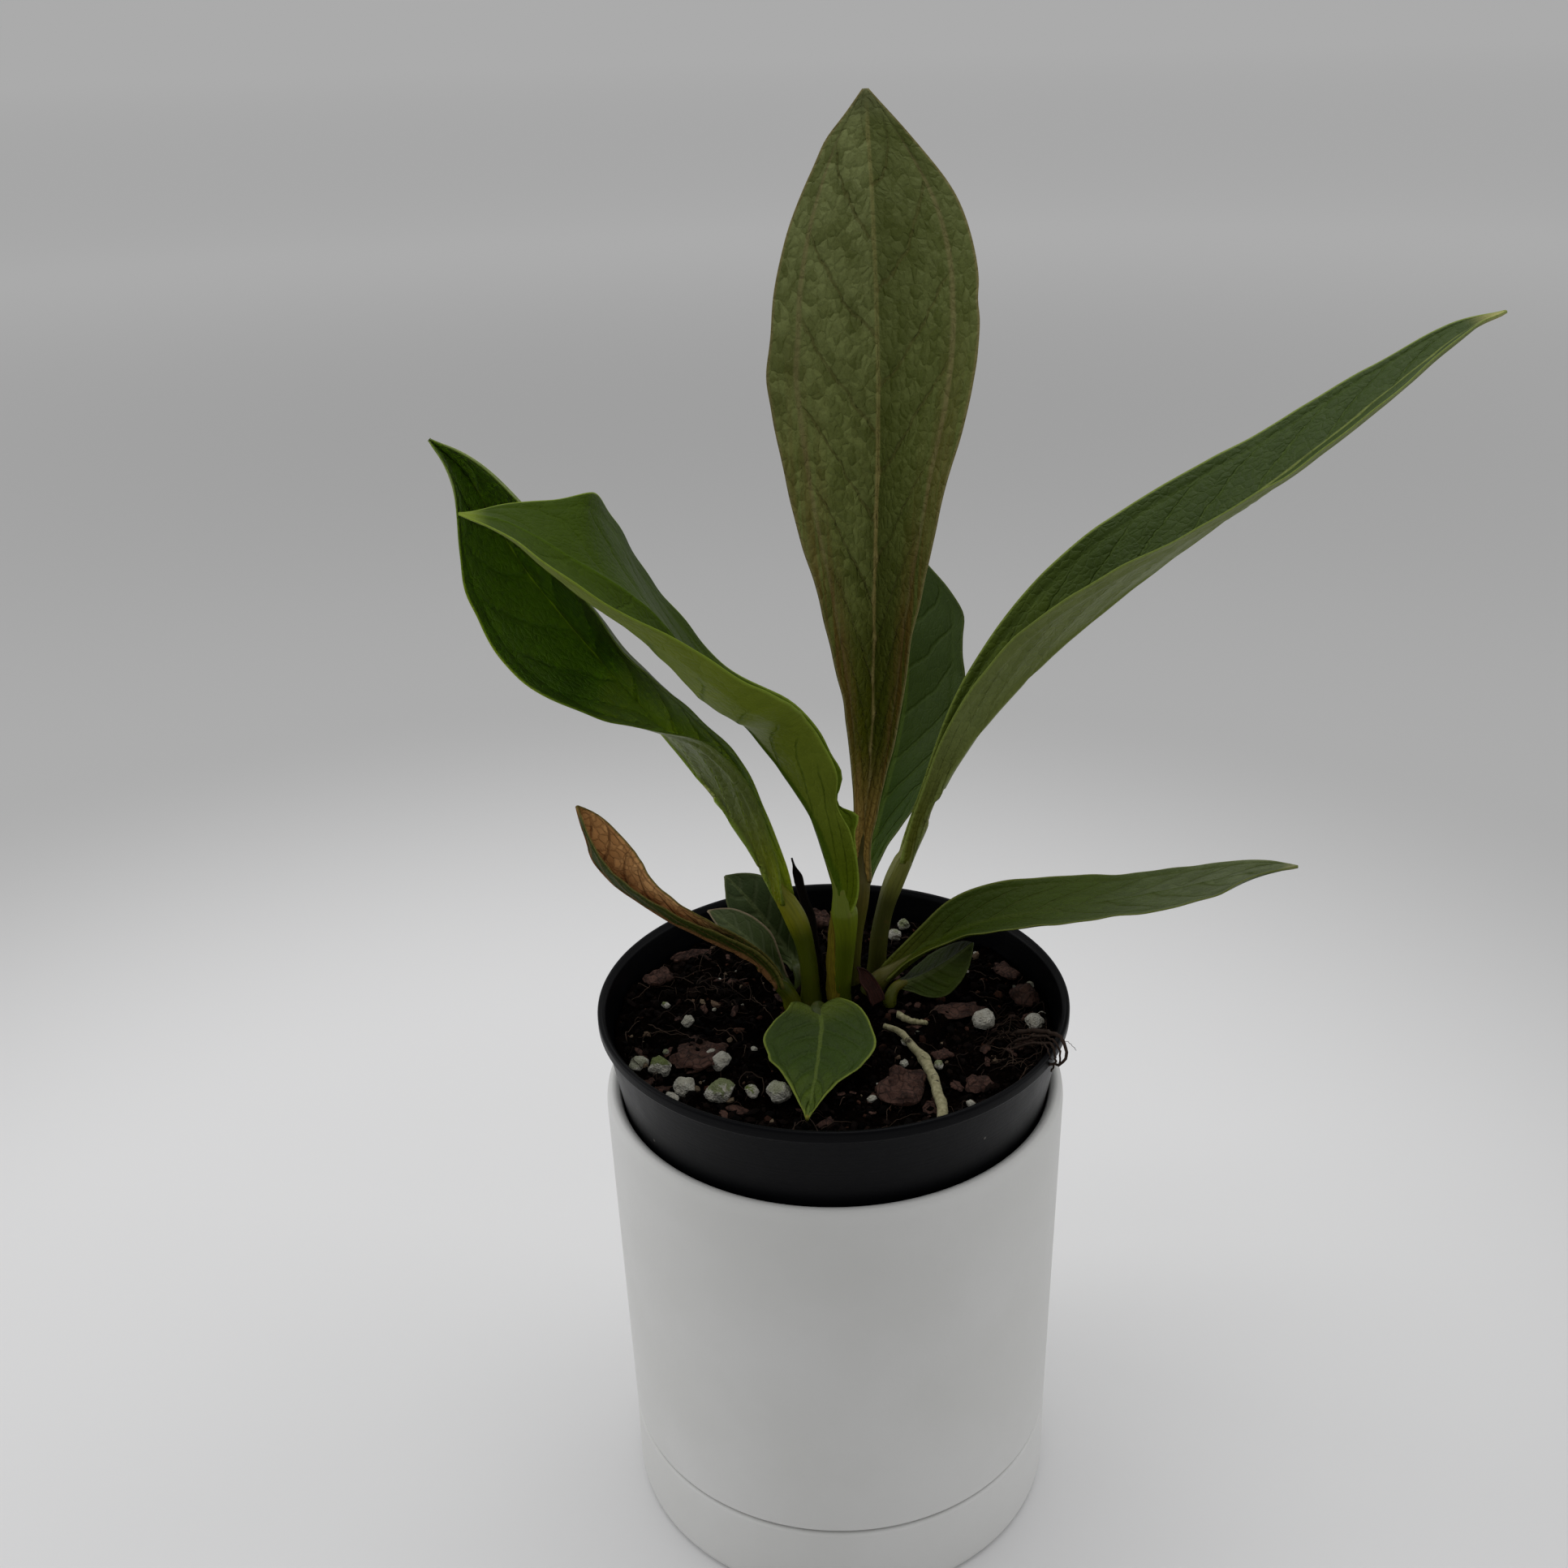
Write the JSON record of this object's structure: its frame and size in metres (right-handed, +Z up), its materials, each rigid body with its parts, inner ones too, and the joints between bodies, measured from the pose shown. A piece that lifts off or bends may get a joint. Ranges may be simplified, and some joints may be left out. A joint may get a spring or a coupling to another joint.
{
  "type": "potted anthurium",
  "caption": "Small anthurium with long folded leaves in a black nursery pot, held by its rim taper in a white cylinder planter with a flush saucer.",
  "frame": {"origin": "centre of the saucer underside, on the pot axis, where the plant stands on a surface", "axes": "+Z up along the pot axis; -Y is the front, the side the small heart-shaped leaf points to; +X is the side of the long single leaf"},
  "size_m": [0.2183, 0.105, 0.317],
  "materials": {
    "planter_white": "satin, nearly matte white",
    "nursery_black": "satin black plastic",
    "potting_mix": "dark, rough, granular",
    "crown": "rough brown",
    "leaf_tall": "olive with a bronze cast, softly blistered, low sheen",
    "leaf_green": "mid green, satin",
    "leaf_light": "light olive green, satin",
    "leaf_dark": "deep green, satin",
    "leaf_dried": "dry brown with darker veins, matte",
    "leaf_small": "grey green, matte",
    "leaf_heart": "mid green with a yellow green edge, satin",
    "petiole": "yellow green, satin",
    "sheath_pale": "pale yellow, dry, matte",
    "sheath_dark": "dark brown, dry, matte",
    "root": "pale green cream, matte, speckled",
    "bark": "red brown, rough",
    "perlite": "off-white, rough, some green with algae"
  },
  "bodies": {
    "root": {"saucer": "planter_white", "planter": "planter_white", "nursery_pot": "nursery_black", "potting_mix": "potting_mix", "crown": "crown", "leaf_tall": "leaf_tall", "leaf_right": "leaf_green", "leaf_front_left": "leaf_light", "leaf_back_left": "leaf_dark", "leaf_back": "leaf_dark", "leaf_low_right": "leaf_green", "leaf_dried": "leaf_dried", "leaf_small_back": "leaf_small", "leaf_small_left": "leaf_small", "leaf_small_right": "leaf_small", "leaf_heart": "leaf_heart", "petiole_tall": "petiole", "petiole_right": "petiole", "petiole_front_left": "petiole", "petiole_back_left": "petiole", "petiole_back": "petiole", "petiole_low_right": "petiole", "petiole_dried": "petiole", "petiole_small_back": "petiole", "petiole_small_left": "petiole", "petiole_small_right": "petiole", "petiole_heart": "petiole", "sheath_pale": "sheath_pale", "sheath_brown": "sheath_dark", "sheath_spike": "sheath_dark", "root_front": "root", "root_side": "root", "bark_01": "bark", "bark_02": "bark", "bark_03": "bark", "bark_04": "bark", "bark_05": "bark", "bark_06": "bark", "bark_07": "bark", "bark_08": "bark", "bark_09": "bark", "bark_10": "bark", "bark_11": "bark", "bark_12": "bark", "perlite_01": "perlite", "perlite_02": "perlite", "perlite_03": "perlite", "perlite_04": "perlite", "perlite_05": "perlite", "perlite_06": "perlite", "perlite_07": "perlite", "perlite_08": "perlite", "perlite_09": "perlite", "perlite_10": "perlite"}
  },
  "joints": []
}
